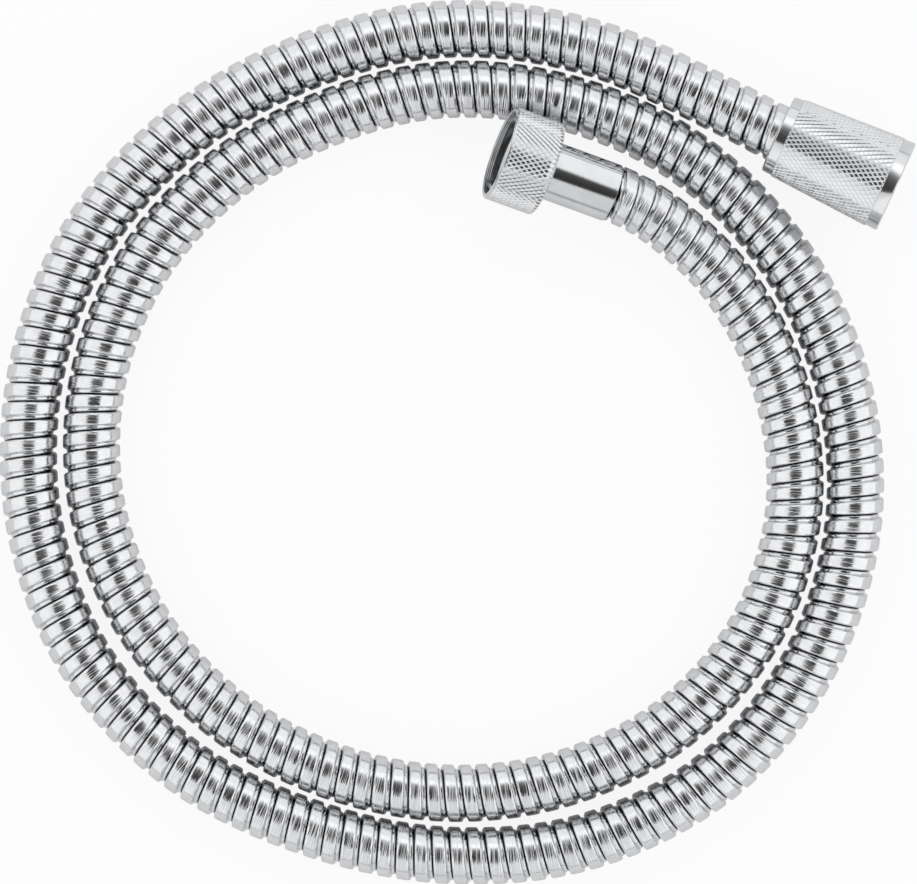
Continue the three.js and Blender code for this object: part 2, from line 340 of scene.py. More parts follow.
class Nodes:
    """The node tree of a material or of the world."""

    def __init__(self, owner):
        owner.use_nodes = True
        self.tree = owner.node_tree
        self.tree.nodes.clear()

    def add(self, kind, settings, values, output=0):
        """Adds a node, sets it up, gives its inputs numbers, colours or links, and returns an output."""
        node = self.tree.nodes.new(kind)
        for name, setting in settings.items():
            if name == "stops":
                self.place_stops(node.color_ramp, setting)
            else:
                setattr(node, name, setting)
        for name, value in values.items():
            if isinstance(value, Socket):
                self.tree.links.new(value.output, node.inputs[name])
            else:
                node.inputs[name].default_value = value
        return Socket(self, node.outputs[output]) if node.outputs else None

    def maths(self, operation, *values):
        return self.add("ShaderNodeMath", {"operation": operation}, dict(enumerate(values)))

    def place_stops(self, ramp, stops):
        for element in list(ramp.elements)[1:]:
            ramp.elements.remove(element)
        for index, (place, colour) in enumerate(stops):
            element = ramp.elements[0] if index == 0 else ramp.elements.new(place)
            element.position = place
            element.color = (*colour, 1)

    def mix_colours(self, factor, low, high):
        """Mixes two colours, by the sockets that a Mix node has for colours."""
        return self.add(
            "ShaderNodeMix", {"data_type": "RGBA"}, {0: factor, 6: low, 7: high}, output=2,
        )

    def noise(self, vector, scale, detail=2.0):
        return self.add(
            "ShaderNodeTexNoise", {}, {"Vector": vector, "Scale": scale, "Detail": detail},
        )

    def made_place(self):
        """Where a point was on the piece before the piece was bent or laid in its place."""
        return self.add(
            "ShaderNodeAttribute", {"attribute_name": MADE_PLACE}, {}, output="Vector",
        )

    def bump(self, height, distance):
        return self.add("ShaderNodeBump", {}, {"Height": height, "Distance": distance})

    def surface(self, shader):
        self.add("ShaderNodeOutputMaterial", {}, {"Surface": shader})

    def principled_surface(self, values):
        self.surface(self.add("ShaderNodeBsdfPrincipled", {}, values))


def opaque(colour):
    return (*colour, 1)


# Materials


def turned_streaks(nodes, along_axis, around):
    """Fine rings left by polishing on a lathe: they change quickly along the axis and slowly around."""
    second, third = (around * share for share in STREAK_STRETCH)
    stretched = nodes.add("ShaderNodeCombineXYZ", {}, {0: along_axis, 1: second, 2: third})
    return nodes.noise(stretched, scale=STREAK_SCALE, detail=1)


def chrome_material(finish, roughness):
    material = bpy.data.materials.new("polished_chrome")
    nodes = Nodes(material)
    x, y, height = nodes.made_place().parts()
    streaks = turned_streaks(nodes, height, x + y)
    clouds = nodes.noise(nodes.made_place(), scale=260)
    shade = nodes.mix_colours(
        clouds.between(0.3, 0.7), opaque([0.94 * c for c in finish.chrome]), opaque(finish.chrome),
    )
    nodes.principled_surface({
        "Base Color": shade,
        "Metallic": 1.0,
        "Roughness": roughness * (0.7 + 0.6 * streaks),
        "Normal": nodes.bump(streaks, distance=0.000006),
    })
    return material


def armour_material(finish):
    material = bpy.data.materials.new("polished_strip")
    nodes = Nodes(material)
    along, y, z = nodes.made_place().parts()
    streaks = turned_streaks(nodes, along, y + z)
    depth = nodes.add("ShaderNodeAttribute", {"attribute_name": GROOVE_DEPTH}, {}, output="Fac")
    wear = nodes.noise(nodes.made_place(), scale=420)
    strip = nodes.mix_colours(
        wear.between(0.3, 0.7), opaque([0.93 * c for c in finish.armour]), opaque(finish.armour),
    )
    # Painted shade: the slits between the windings, and the swaged tails, are coloured near black to
    # stand for shade; the same mask also roughens them
    slit_shade_mask = depth.between(0.82, 0.9)
    brushed = streaks.between(0.44, 0.58) * (1 - depth.between(0.2, 0.6))
    shade = nodes.mix_colours(slit_shade_mask, strip, opaque(finish.groove))
    ridges = streaks * (1 - 0.75 * depth.between(0.2, 0.6))
    nodes.principled_surface({
        "Base Color": shade,
        "Metallic": 1.0,
        "Roughness": 0.06 + 0.2 * brushed + 0.3 * slit_shade_mask,
        "Normal": nodes.bump(ridges, distance=0.00014),
    })
    return material


def brass_material(finish):
    material = bpy.data.materials.new("machined_brass")
    nodes = Nodes(material)
    x, y, height = nodes.made_place().parts()
    streaks = turned_streaks(nodes, height, x + y)
    tarnish = nodes.noise(nodes.made_place(), scale=300, detail=4)
    shade = nodes.mix_colours(
        tarnish.between(0.35, 0.7), opaque(finish.brass), opaque([0.75 * c for c in finish.brass]),
    )
    nodes.principled_surface({
        "Base Color": shade,
        "Metallic": 1.0,
        "Roughness": 0.24 + 0.2 * streaks,
        "Normal": nodes.bump(streaks, distance=0.00001),
    })
    return material


def washer_material(finish):
    material = bpy.data.materials.new("washer_rubber")
    nodes = Nodes(material)
    grain = nodes.noise(nodes.made_place(), scale=5000, detail=3)
    bloom = nodes.noise(nodes.made_place(), scale=400, detail=3)
    shade = nodes.mix_colours(
        bloom.between(0.4, 0.75), opaque(finish.washer), opaque([1.8 * c for c in finish.washer]),
    )
    nodes.principled_surface({
        "Base Color": shade,
        "Roughness": 0.55 + 0.25 * bloom,
        "Normal": nodes.bump(grain, distance=0.00002),
    })
    return material


def tube_material(finish):
    material = bpy.data.materials.new("white_tube")
    nodes = Nodes(material)
    place = nodes.add("ShaderNodeTexCoord", {}, {}, output="Object")
    clouds = nodes.noise(place, scale=90, detail=3)
    shade = nodes.mix_colours(clouds, opaque(finish.tube), opaque([0.9 * c for c in finish.tube]))
    nodes.principled_surface({
        "Base Color": shade,
        "Roughness": 0.4 + 0.15 * clouds,
    })
    return material


def give(piece, material):
    piece.data.materials.clear()
    piece.data.materials.append(material)


# Modelling


def only(piece):
    """Makes a piece the one that is selected and active."""
    bpy.ops.object.select_all(action="DESELECT")
    piece.select_set(True)
    bpy.context.view_layer.objects.active = piece


def edit_all():
    """Goes into edit mode on the active piece, with all of it selected."""
    bpy.ops.object.mode_set(mode="EDIT")
    bpy.ops.mesh.select_all(action="SELECT")


def face_outwards():
    """Turns every face of the piece in edit mode outwards."""
    bpy.ops.mesh.select_all(action="SELECT")
    bpy.ops.mesh.normals_make_consistent(inside=False)


def drawn_outline(name, points, closed=False):
    """A line of edges through the points, drawn from a plane merged to a point, left in edit mode."""
    bpy.ops.object.select_all(action="DESELECT")
    bpy.ops.mesh.primitive_plane_add(size=OUTLINE_SEED_SIZE, location=(0, 0, 0))
    piece = bpy.context.active_object
    piece.name = name
    bpy.ops.object.mode_set(mode="EDIT")
    bpy.ops.mesh.select_mode(type="VERT")
    bpy.ops.mesh.select_all(action="SELECT")
    bpy.ops.mesh.merge(type="CENTER")
    bpy.ops.transform.translate(value=points[0])
    for before, after in zip(points, points[1:]):
        step = Vector(after) - Vector(before)
        bpy.ops.mesh.extrude_region_move(TRANSFORM_OT_translate={"value": step})
    if closed:
        select_ends(piece, points[0], points[-1])
        bpy.ops.mesh.edge_face_add()
    return piece


def select_ends(piece, first, last):
    """Selects, in edit mode, the two vertices at the ends of a drawn outline."""
    bpy.ops.mesh.select_all(action="DESELECT")
    bpy.ops.object.mode_set(mode="OBJECT")
    for vertex in piece.data.vertices:
        distance = min((vertex.co - Vector(end)).length for end in (first, last))
        vertex.select = distance < MERGE_DISTANCE
    bpy.ops.object.mode_set(mode="EDIT")


def turned(name, outline, steps, closed=True):
    """A turned piece about Z from an outline of radius and height."""
    piece = drawn_outline(name, [(radius, 0, height) for radius, height in outline], closed)
    bpy.ops.mesh.select_all(action="SELECT")
    bpy.ops.mesh.spin(steps=steps, angle=2 * math.pi, center=(0, 0, 0), axis=(0, 0, 1))
    bpy.ops.mesh.select_all(action="SELECT")
    bpy.ops.mesh.remove_doubles(threshold=MERGE_DISTANCE)
    face_outwards()
    bpy.ops.object.mode_set(mode="OBJECT")
    return piece


def keep_made_place(piece):
    """Stores where each vertex is on the piece as made, for patterns that follow the surface."""
    stored = piece.data.attributes.new(MADE_PLACE, "FLOAT_VECTOR", "POINT")
    for index, vertex in enumerate(piece.data.vertices):
        stored.data[index].vector = vertex.co


def apply_modifier(piece, kind, **settings):
    only(piece)
    modifier = piece.modifiers.new(kind.title(), kind)
    for name, setting in settings.items():
        setattr(modifier, name, setting)
    bpy.ops.object.modifier_apply(modifier=modifier.name)


def fitting_matrix(joint_name):
    """From the fitting as made, standing on its mouth, to where the frame has it."""
    joint = next(joint for joint in frame["joints"] if joint["name"] == joint_name)
    inward = -Vector(joint["axis"])
    return Matrix.Translation(joint["pos_m"]) @ inward.to_track_quat("Z", "Y").to_matrix().to_4x4()


def lay_in_place(piece, matrix):
    piece.data.transform(matrix)
    piece.data.update()


# The hose


def fitting_point(joint_name, distance):
    return fitting_matrix(joint_name) @ Vector((0, 0, distance))


def straight_run(joint_name, start, end):
    middle = (start + end) / 2
    return [fitting_point(joint_name, distance) for distance in (start, middle, end)]


def tube_start(shoulder):
    return shoulder + LIP_THICKNESS + GAP


def route_points(armour):
    """The points that the hose's centreline passes, from the handset fitting to the wall fitting."""
    turns = [
        COIL_CENTRE + Vector((
            (COIL_RADIUS + outside) * math.cos(math.radians(bearing)),
            (COIL_RADIUS + outside) * math.sin(math.radians(bearing)),
            armour.diameter / 2 + lift,
        ))
        for bearing, outside, lift in ROUTE
    ]
    handset = straight_run("handset_nut_spin", tube_start(CONE_SHOULDER), CONE_LENGTH + HOSE_LEAD)
    wall = straight_run("wall_nut_spin", tube_start(WALL_SHOULDER), WALL_ARMOUR_START + HOSE_LEAD)
    return handset + turns + wall[::-1]


def span_point(before, start, end, after, place):
    """A point between start and end on a centripetal Catmull-Rom curve through the four points."""
    lead, span, tail = (
        (b - a).length ** 0.5 for a, b in ((before, start), (start, end), (end, after))
    )
    leaving = (start - before) / lead - (end - before) / (lead + span) + (end - start) / span
    arriving = (end - start) / span - (after - start) / (span + tail) + (after - end) / tail
    leaving *= span
    arriving *= span
    squared, cubed = place ** 2, place ** 3
    return (
        start * (2 * cubed - 3 * squared + 1) + end * (3 * squared - 2 * cubed)
        + leaving * (cubed - 2 * squared + place) + arriving * (cubed - squared)
    )


def centreline(armour):
    """The whole centreline as close points."""
    points = route_points(armour)
    guides = [2 * points[0] - points[1], *points, 2 * points[-1] - points[-2]]
    line = [
        span_point(*guides[index:index + 4], step / POINTS_PER_SPAN)
        for index in range(len(points) - 1)
        for step in range(POINTS_PER_SPAN)
    ]
    return [*line, points[-1]]


def line_length(line):
    return sum((b - a).length for a, b in zip(line, line[1:]))


def trimmed(line, cut_from_start, cut_from_end):
    """The line without a length at each end."""
    def without_start(points, cut):
        walked = 0
        for index, (a, b) in enumerate(zip(points, points[1:])):
            step = (b - a).length
            if walked + step > cut:
                return [a.lerp(b, (cut - walked) / step), *points[index + 1:]]
            walked += step
        raise RuntimeError("the line is shorter than the cut")

    return without_start(without_start(line, cut_from_start)[::-1], cut_from_end)[::-1]


def curve_along(name, line):
    """A curve of short straight stretches through the points, kept upright."""
    data = bpy.data.curves.new(name, "CURVE")
    data.dimensions = "3D"
    data.twist_mode = "Z_UP"
    spline = data.splines.new("POLY")
    spline.points.add(len(line) - 1)
    for place, point in zip(line, spline.points):
        point.co = (*place, 1)
    curve = bpy.data.objects.new(name, data)
    bpy.context.scene.collection.objects.link(curve)
    return curve


# The wound strip over one winding: share of the pitch, and height below the crown. It rises from the
# slit over a rounded shoulder to the crown, drops past the strip's folded edge and runs over the
# lower, rounded land to the next slit.
STRIP_OUTLINE = [
    (0.000, 0.00145), (0.010, 0.00065), (0.028, 0.00030), (0.068, 0.00008), (0.130, 0.0),
    (0.165, 0.0), (0.585, 0.0), (0.615, 0.0), (0.672, 0.00010), (0.708, 0.00032), (0.732, 0.00116),
    (0.790, 0.00096), (0.860, 0.00096), (0.922, 0.00118), (0.932, 0.00142),
]


def strip_windings(armour, count):
    """The straight winding along X as an open tube, whose spare turn at each end is cut off square."""
    crown = armour.diameter / 2
    pitch = armour.wall_pitch
    outline = [*STRIP_OUTLINE, (1, STRIP_OUTLINE[0][1])]
    piece = drawn_outline(
        "armour_windings", [(share * pitch, 0, crown - depth) for share, depth in outline],
    )
    bpy.ops.object.mode_set(mode="OBJECT")
    apply_modifier(
        piece, "SCREW", axis="X", angle=2 * math.pi, screw_offset=pitch, iterations=count + 2,
        steps=armour.steps, render_steps=armour.steps, use_merge_vertices=False,
    )
    edit_all()
    bpy.ops.mesh.remove_doubles(threshold=MERGE_DISTANCE)
    for turns, normal in ((1, -1), (count + 1, 1)):
        bpy.ops.mesh.select_all(action="SELECT")
        bpy.ops.mesh.bisect(
            plane_co=(turns * pitch, 0, 0), plane_no=(normal, 0, 0), clear_outer=True,
            threshold=CUT_THRESHOLD,
        )
    return piece


def close_bore(piece, armour, count):
    """Turns both cut ends in to the bore and joins them by the bore's wall."""
    bpy.ops.mesh.select_all(action="DESELECT")
    bpy.ops.mesh.select_mode(type="EDGE")
    bpy.ops.mesh.select_non_manifold(extend=False)
    bpy.ops.mesh.extrude_region_move()
    bpy.ops.object.mode_set(mode="OBJECT")
    for vertex in piece.data.vertices:
        if vertex.select:
            around = Vector((0, vertex.co.y, vertex.co.z)).normalized() * armour.bore / 2
            vertex.co = (vertex.co.x, around.y, around.z)
    bpy.ops.object.mode_set(mode="EDIT")
    bpy.ops.mesh.bridge_edge_loops(number_cuts=count // WINDINGS_PER_BORE_RING)
    face_outwards()
    bpy.ops.object.mode_set(mode="OBJECT")


def shape_windings(piece, armour, count, length):
    """Spreads the windings over the hose's length and swages the tails."""
    spread = armour.wall_pitch - armour.handset_pitch
    first_pitch = length / count - spread / 2
    depths = piece.data.attributes.new(GROOVE_DEPTH, "FLOAT", "POINT")
    crown = armour.diameter / 2
    swage = crown - armour.tail_diameter / 2
    handset_tail, wall_tail = tail_lengths(armour)
    for index, vertex in enumerate(piece.data.vertices):
        turn = vertex.co.x / armour.wall_pitch - 1
        along = first_pitch * turn + spread / count * turn ** 2 / 2
        around = Vector((0, vertex.co.y, vertex.co.z))
        clear_of_sleeves = min(along - handset_tail, length - along - wall_tail)
        swaged = min(max((SWAGE_END - clear_of_sleeves) / SWAGE_LENGTH, 0), 1)
        depth = min((crown - around.length) / STRIP_OUTLINE[0][1], 1)
        # Swaged tails count as full depth, so they take the painted slit shade too
        depths.data[index].value = max(depth, swaged)
        limit = crown - swage * swaged
        if around.length > limit:
            around *= limit / around.length
        vertex.co = (along, around.y, around.z)
    piece.data.update()


def tail_lengths(armour):
    """The lengths of armour inside the handset's sleeve and inside the wall's."""
    return [armour.tail_windings * pitch for pitch in (armour.handset_pitch, armour.wall_pitch)]


def armour_line(armour):
    """The centreline from one end of the armour to the other."""
    handset_tail, wall_tail = tail_lengths(armour)
    return trimmed(
        centreline(armour),
        CONE_ARMOUR_START - tube_start(CONE_SHOULDER) - handset_tail,
        WALL_ARMOUR_START - tube_start(WALL_SHOULDER) - wall_tail,
    )


class OBJECT_OT_shower_hose_armour(bpy.types.Operator):
    """Winds the metal armour along the hose's route"""

    bl_idname = "object.shower_hose_armour"
    bl_label = "Wind the armour"

    def execute(self, context):
        armour = context.scene.shower_hose_armour
        line = armour_line(armour)
        length = line_length(line)
        count = round(2 * length / (armour.handset_pitch + armour.wall_pitch))
        piece = strip_windings(armour, count)
        close_bore(piece, armour, count)
        shape_windings(piece, armour, count, length)
        keep_made_place(piece)
        route = curve_along("armour_route", line)
        apply_modifier(piece, "CURVE", object=route, deform_axis="POS_X")
        bpy.data.objects.remove(route)
        only(piece)
        bpy.ops.object.shade_smooth_by_angle(angle=HOSE_SMOOTH_ANGLE)
        give(piece, armour_material(context.scene.shower_hose_finish))
        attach(piece, "hose")
        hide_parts("armour")
        return {"FINISHED"}


class OBJECT_OT_shower_hose_tube(bpy.types.Operator):
    """Draws the tube that carries the water through the armour"""

    bl_idname = "object.shower_hose_tube"
    bl_label = "Draw the inner tube"

    def execute(self, context):
        armour = context.scene.shower_hose_armour
        line = centreline(armour)
        route = curve_along("inner_tube", [*line[:-1:TUBE_POINT_STEP], line[-1]])
        route.data.bevel_depth = TUBE_RADIUS
        route.data.bevel_resolution = TUBE_BEVEL_STEPS
        only(route)
        bpy.ops.object.convert(target="MESH")
        tube = bpy.context.active_object
        apply_modifier(tube, "SOLIDIFY", thickness=TUBE_WALL, offset=-1)
        only(tube)
        bpy.ops.object.shade_smooth_by_angle(angle=HOSE_SMOOTH_ANGLE)
        give(tube, tube_material(context.scene.shower_hose_finish))
        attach(tube, "hose")
        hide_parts("inner_hose")
        return {"FINISHED"}


class OBJECT_OT_shower_hose_cord(bpy.types.Operator):
    bl_idname = "object.shower_hose_cord"
    bl_label = "Declare the hose"

    def execute(self, context):
        armour = context.scene.shower_hose_armour
        line = armour_line(armour)
        line_length(line)
        return {"FINISHED"}


# The fittings


# The half inch pipe thread's ridge: radius, and share of the pitch
THREAD_RIDGE = [
    (THREAD_ROOT_RADIUS, -0.47), (THREAD_CREST_RADIUS, -0.1), (THREAD_CREST_RADIUS, 0.1),
    (THREAD_ROOT_RADIUS, 0.47),
]


def thread_ridge(name, depth):
    """The ridge of a nut's inner thread, chamfered at the mouth."""
    points = [(radius, 0, share * THREAD_PITCH) for radius, share in THREAD_RIDGE]
    ridge = drawn_outline(name, points, closed=True)
    bpy.ops.object.mode_set(mode="OBJECT")
    turns = int((depth - THREAD_START) / THREAD_PITCH) - 1
    apply_modifier(
        ridge, "SCREW", axis="Z", angle=2 * math.pi, screw_offset=THREAD_PITCH, iterations=turns,
        steps=THREAD_STEPS, render_steps=THREAD_STEPS,
    )
    edit_all()
    bpy.ops.mesh.remove_doubles(threshold=MERGE_DISTANCE)
    bpy.ops.mesh.select_all(action="SELECT")
    bpy.ops.mesh.fill_holes(sides=len(THREAD_RIDGE))
    face_outwards()
    bpy.ops.transform.translate(value=(0, 0, THREAD_START + THREAD_PITCH / 2))
    bpy.ops.object.mode_set(mode="OBJECT")
    for vertex in ridge.data.vertices:
        chamfer = THREAD_MAJOR_RADIUS - vertex.co.z
        around = vertex.co.xy.length
        if around < chamfer:
            vertex.co.xy *= chamfer / around
    return ridge


def knurls_around(nuts, radius_at, start, end):
    """How many diamonds go round a nut, and the length round its middle."""
    around = 2 * math.pi * radius_at((start + end) / 2)
    return round(around / nuts.knurl_pitch), around


def knurl_band(nuts, radius_at, start, end, twist):
    """A knurled band of raised diamonds from one height to the other, rolled up from a flat grid."""
    count, around = knurls_around(nuts, radius_at, start, end)
    across = around / count
    cell = across / math.sqrt(2)
    cells = math.ceil((around + end - start) / across) + SPARE_DIAMONDS
    bpy.ops.object.select_all(action="DESELECT")
    bpy.ops.mesh.primitive_grid_add(
        x_subdivisions=cells, y_subdivisions=cells, size=cells * cell,
        rotation=(0, 0, math.pi / 4), location=(around / 2, 0, 0),
    )
    band = bpy.context.active_object
    band.name = "knurl_band"
    bpy.ops.object.transform_apply(location=True, rotation=True)
    edit_all()
    bpy.ops.mesh.inset(
        thickness=cell * KNURL_SLOPE, depth=nuts.knurl_depth, use_individual=True,
    )
    bpy.ops.mesh.select_all(action="SELECT")
    bpy.ops.transform.resize(value=(1, KNURL_STRETCH, 1), center_override=(0, 0, 0))
    bpy.ops.transform.translate(value=(0, (start + end) / 2, 0))
    seam = across / 4
    for place, normal in (
        ((seam, 0, 0), (-1, 0, 0)), ((around + seam, 0, 0), (1, 0, 0)),
        ((0, start, 0), (0, -1, 0)), ((0, end, 0), (0, 1, 0)),
    ):
        bpy.ops.mesh.select_all(action="SELECT")
        bpy.ops.mesh.bisect(
            plane_co=place, plane_no=normal, clear_outer=True, threshold=CUT_THRESHOLD,
        )
    bpy.ops.object.mode_set(mode="OBJECT")
    for vertex in band.data.vertices:
        height = vertex.co.y
        angle = 2 * math.pi * (vertex.co.x + twist * height) / around
        radius = radius_at(height) - nuts.knurl_depth + vertex.co.z
        vertex.co = (radius * math.cos(angle), radius * math.sin(angle), height)
    edit_all()
    bpy.ops.mesh.remove_doubles(threshold=KNURL_MERGE_DISTANCE)
    bpy.ops.object.mode_set(mode="OBJECT")
    return band


def joined(piece, *others):
    bpy.ops.object.select_all(action="DESELECT")
    for part in (piece, *others):
        part.select_set(True)
    bpy.context.view_layer.objects.active = piece
    bpy.ops.object.join()
    return piece


def bridge_at(piece, height):
    """Joins the body's open rim to the knurled band's at one height."""
    bpy.ops.object.mode_set(mode="EDIT")
    bpy.ops.mesh.select_mode(type="EDGE")
    bpy.ops.mesh.select_all(action="DESELECT")
    bpy.ops.mesh.select_non_manifold(extend=False)
    bpy.ops.object.mode_set(mode="OBJECT")
    places = [vertex.co for vertex in piece.data.vertices]
    for edge in piece.data.edges:
        near = all(abs(places[index].z - height) < NEAR_RIM for index in edge.vertices)
        edge.select = edge.select and near
    bpy.ops.object.mode_set(mode="EDIT")
    bpy.ops.mesh.bridge_edge_loops()
    bpy.ops.object.mode_set(mode="OBJECT")


def knurled_nut(name, nuts, outline, shoulder, radius_at, start, end, twist=0.0):
    """A nut from its turned body, which is open where the knurl comes, its knurl and its thread."""
    count, _ = knurls_around(nuts, radius_at, start, end)
    body = turned(name, outline, 2 * count, closed=False)
    nut = joined(body, knurl_band(nuts, radius_at, start, end, twist))
    bridge_at(nut, start)
    bridge_at(nut, end)
    bpy.ops.object.mode_set(mode="EDIT")
    face_outwards()
    bpy.ops.object.mode_set(mode="OBJECT")
    return joined(nut, thread_ridge("thread", shoulder))


def finish_piece(piece, joint_name, body, node, material):
    """Smooths, finishes and places a piece of a fitting, hangs it on its body and hides the part that it
    replaces.
    """
    keep_made_place(piece)
    lay_in_place(piece, fitting_matrix(joint_name))
    only(piece)
    bpy.ops.object.shade_smooth_by_angle(angle=FITTING_SMOOTH_ANGLE)
    give(piece, material)
    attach(piece, body)
    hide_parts(node)


def mouth_bore(shoulder, exit_edge):
    """The bore of a nut from the rear hole down to the mouth, with fine turned rings inside the mouth."""
    rings = [
        (THREAD_MAJOR_RADIUS + MOUTH_RING_DEPTH * (step % 2), THREAD_START - step * MOUTH_RING_STEP)
        for step in range(2 * MOUTH_RINGS + 1)
    ]
    return [
        (NUT_EXIT_RADIUS, exit_edge), (NUT_EXIT_RADIUS, shoulder), (THREAD_MAJOR_RADIUS, shoulder),
        *rings, (THREAD_MAJOR_RADIUS + MOUTH_RING_DEPTH, 0),
    ]


class OBJECT_OT_shower_hose_wall_nut(bpy.types.Operator):
    """Turns, knurls and threads the short nut of the wall end"""

    bl_idname = "object.shower_hose_wall_nut"
    bl_label = "Make the wall nut"

    def execute(self, context):
        nuts = context.scene.shower_hose_nuts
        radius = nuts.wall_nut_diameter / 2
        groove = radius - nuts.knurl_depth
        rear = WALL_NUT_LENGTH
        start, end = WALL_KNURL_START, rear - REAR_ROUNDING / 3

        def radius_at(height):
            into = max(height - rear + REAR_ROUNDING, 0) / REAR_ROUNDING
            return radius - REAR_ROUNDING * (1 - math.sqrt(max(1 - into ** 2, 0)))

        rounded = radius_at(end) - nuts.knurl_depth
        outline = [
            (rounded, end + KNURL_CLEARANCE), (rounded - NUT_CHAMFER, rear - KNURL_CLEARANCE / 2),
            (rounded - WALL_REAR_EDGE, rear), (NUT_EXIT_RADIUS + NUT_CHAMFER, rear),
            *mouth_bore(WALL_SHOULDER, rear - NUT_CHAMFER),
            (radius - WALL_MOUTH_CHAMFER, 0), (groove, NUT_CHAMFER), (groove, start - KNURL_CLEARANCE),
        ]
        nut = knurled_nut(
            "wall_nut_knurled", nuts, outline, WALL_SHOULDER, radius_at, start, end,
        )
        chrome = chrome_material(context.scene.shower_hose_finish, NUT_ROUGHNESS)
        finish_piece(nut, "wall_nut_spin", "wall_end_nut", "wall_nut", chrome)
        return {"FINISHED"}


class OBJECT_OT_shower_hose_cone_nut(bpy.types.Operator):
    """Turns, knurls and threads the long cone nut of the handset end"""

    bl_idname = "object.shower_hose_cone_nut"
    bl_label = "Make the cone nut"

    def execute(self, context):
        nuts = context.scene.shower_hose_nuts
        mouth, rear = nuts.cone_mouth_diameter / 2, nuts.cone_rear_diameter / 2

        def radius_at(height):
            return mouth + (rear - mouth) * height / CONE_LENGTH

        def band(height):
            return radius_at(height) - CONE_BAND_INSET

        length = CONE_LENGTH
        start, end = CONE_KNURL_START, length - CONE_REAR_BAND
        outline = [
            (band(end), end + KNURL_CLEARANCE), (band(end), end + NUT_CHAMFER),
            (band(length), length - CONE_BAND_EDGE), (band(length), length - NUT_CHAMFER),
            (band(length) - NUT_CHAMFER, length), (NUT_EXIT_RADIUS + NUT_CHAMFER, length),
            *mouth_bore(CONE_SHOULDER, length - NUT_CHAMFER),
            (band(0) - NUT_CHAMFER, 0), (band(0), NUT_CHAMFER), (band(CONE_BAND_EDGE), CONE_BAND_EDGE),
            (band(start), start - NUT_CHAMFER), (band(start), start - KNURL_CLEARANCE),
        ]
        nut = knurled_nut(
            "cone_nut_knurled", nuts, outline, CONE_SHOULDER, radius_at, start, end, CONE_KNURL_TWIST,
        )
        chrome = chrome_material(context.scene.shower_hose_finish, NUT_ROUGHNESS)
        finish_piece(nut, "handset_nut_spin", "handset_end_nut", "handset_nut", chrome)
        return {"FINISHED"}


# For each end of the hose: its nut's joint, and how far behind the mouth the nut's shoulder and the
# sleeve's end lie
FITTINGS = {
    "wall": ("wall_nut_spin", WALL_SHOULDER, WALL_SLEEVE_END),
    "handset": ("handset_nut_spin", CONE_SHOULDER, CONE_SLEEVE_END),
}


class OBJECT_OT_shower_hose_sleeves(bpy.types.Operator):
    """Turns the sleeves that are pressed over the ends of the hose"""

    bl_idname = "object.shower_hose_sleeves"
    bl_label = "Make the sleeves"

    def execute(self, context):
        chrome = chrome_material(context.scene.shower_hose_finish, SLEEVE_ROUGHNESS)
        outer = context.scene.shower_hose_nuts.sleeve_diameter / 2
        inner = outer - SLEEVE_WALL
        lip = TUBE_RADIUS + GAP
        for end, (joint_name, shoulder, sleeve_end) in FITTINGS.items():
            outline = [
                (lip, shoulder), (outer - 0.75 * SLEEVE_ROUNDING, shoulder),
                (outer - 0.25 * SLEEVE_ROUNDING, shoulder + 0.25 * SLEEVE_ROUNDING),
                (outer, shoulder + SLEEVE_ROUNDING), (outer, shoulder + 2 * SLEEVE_ROUNDING),
                (outer, sleeve_end - 3 * SLEEVE_CHAMFER), (outer, sleeve_end - SLEEVE_CHAMFER),
                (outer - SLEEVE_CHAMFER, sleeve_end), (inner, sleeve_end),
                (inner, shoulder + LIP_THICKNESS), (lip, shoulder + LIP_THICKNESS),
            ]
            piece = turned(f"{end}_sleeve_turned", outline, TURNING_STEPS)
            finish_piece(piece, joint_name, "hose", f"{end}_sleeve", chrome)
        return {"FINISHED"}


